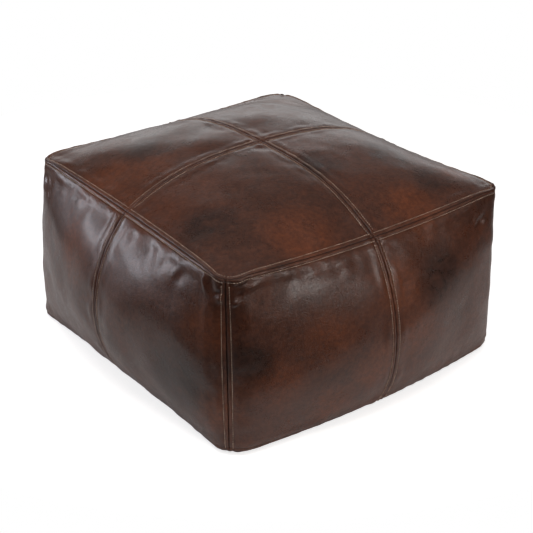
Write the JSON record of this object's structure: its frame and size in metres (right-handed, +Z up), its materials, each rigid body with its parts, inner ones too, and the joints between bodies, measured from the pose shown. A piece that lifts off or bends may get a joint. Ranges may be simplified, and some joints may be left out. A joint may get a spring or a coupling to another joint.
{
  "type": "leather pouf",
  "caption": "Square stuffed leather pouf with a panelled, topstitched cover, an inner bag of cotton and a zip in its base; a low seat, footrest or side table.",
  "frame": {"origin": "middle of the base, on the floor the pouf stands on", "axes": "+Z up; -Y towards the front side; the zip in the base runs along Y and the pull hangs at its +Y end"},
  "size_m": [0.6386, 0.6386, 0.3511],
  "materials": {
    "antiqued_leather": "gloss",
    "base_leather": "matte",
    "waxed_thread": "satin",
    "calico": "matte",
    "cotton_filling": "matte",
    "zip_tape": "matte",
    "zip_coil": "satin",
    "antique_brass": "satin"
  },
  "bodies": {
    "cover": {"back_panel_left": "antiqued_leather", "back_panel_right": "antiqued_leather", "base_panel_left": "base_leather", "base_panel_right": "base_leather", "cotton_filling": "cotton_filling", "front_panel_left": "antiqued_leather", "front_panel_right": "antiqued_leather", "left_panel_back": "antiqued_leather", "left_panel_front": "antiqued_leather", "liner_back": "calico", "liner_base": "calico", "liner_front": "calico", "liner_left": "calico", "liner_right": "calico", "liner_top": "calico", "right_panel_back": "antiqued_leather", "right_panel_front": "antiqued_leather", "top_panel_back_left": "antiqued_leather", "top_panel_back_right": "antiqued_leather", "top_panel_front_left": "antiqued_leather", "top_panel_front_right": "antiqued_leather", "topstitch_back_left_corner": "waxed_thread", "topstitch_back_left_middle": "waxed_thread", "topstitch_back_right_corner": "waxed_thread", "topstitch_back_right_middle": "waxed_thread", "topstitch_cross_back_left": "waxed_thread", "topstitch_cross_back_right": "waxed_thread", "topstitch_cross_front_left": "waxed_thread", "topstitch_cross_front_right": "waxed_thread", "topstitch_front_left_corner": "waxed_thread", "topstitch_front_left_middle": "waxed_thread", "topstitch_front_right_corner": "waxed_thread", "topstitch_front_right_middle": "waxed_thread", "topstitch_left_back_corner": "waxed_thread", "topstitch_left_back_middle": "waxed_thread", "topstitch_left_front_corner": "waxed_thread", "topstitch_left_front_middle": "waxed_thread", "topstitch_long_left": "waxed_thread", "topstitch_long_right": "waxed_thread", "topstitch_right_back_corner": "waxed_thread", "topstitch_right_back_middle": "waxed_thread", "topstitch_right_front_corner": "waxed_thread", "topstitch_right_front_middle": "waxed_thread", "topstitch_rim_sides": "waxed_thread", "topstitch_rim_top": "waxed_thread", "zip_bottom_stop": "antique_brass", "zip_coil_left": "zip_coil", "zip_coil_right": "zip_coil", "zip_stitch_left": "waxed_thread", "zip_stitch_right": "waxed_thread", "zip_tape_left": "zip_tape", "zip_tape_right": "zip_tape", "zip_top_stop_left": "antique_brass", "zip_top_stop_right": "antique_brass"},
    "zip_slider": {"zip_slider": "antique_brass"},
    "zip_pull": {"zip_pull": "antique_brass"}
  },
  "joints": [
    {"name": "zip_slide", "type": "slide", "parent": "cover", "child": "zip_slider", "axis": [0, 1, 0], "range_m": [-0.409, 0]},
    {"name": "zip_pull_hinge", "type": "hinge", "parent": "zip_slider", "child": "zip_pull", "pos_m": [0, 0.2045, 0.00335], "axis": [1, 0, 0], "range_deg": [0, 180]}
  ]
}
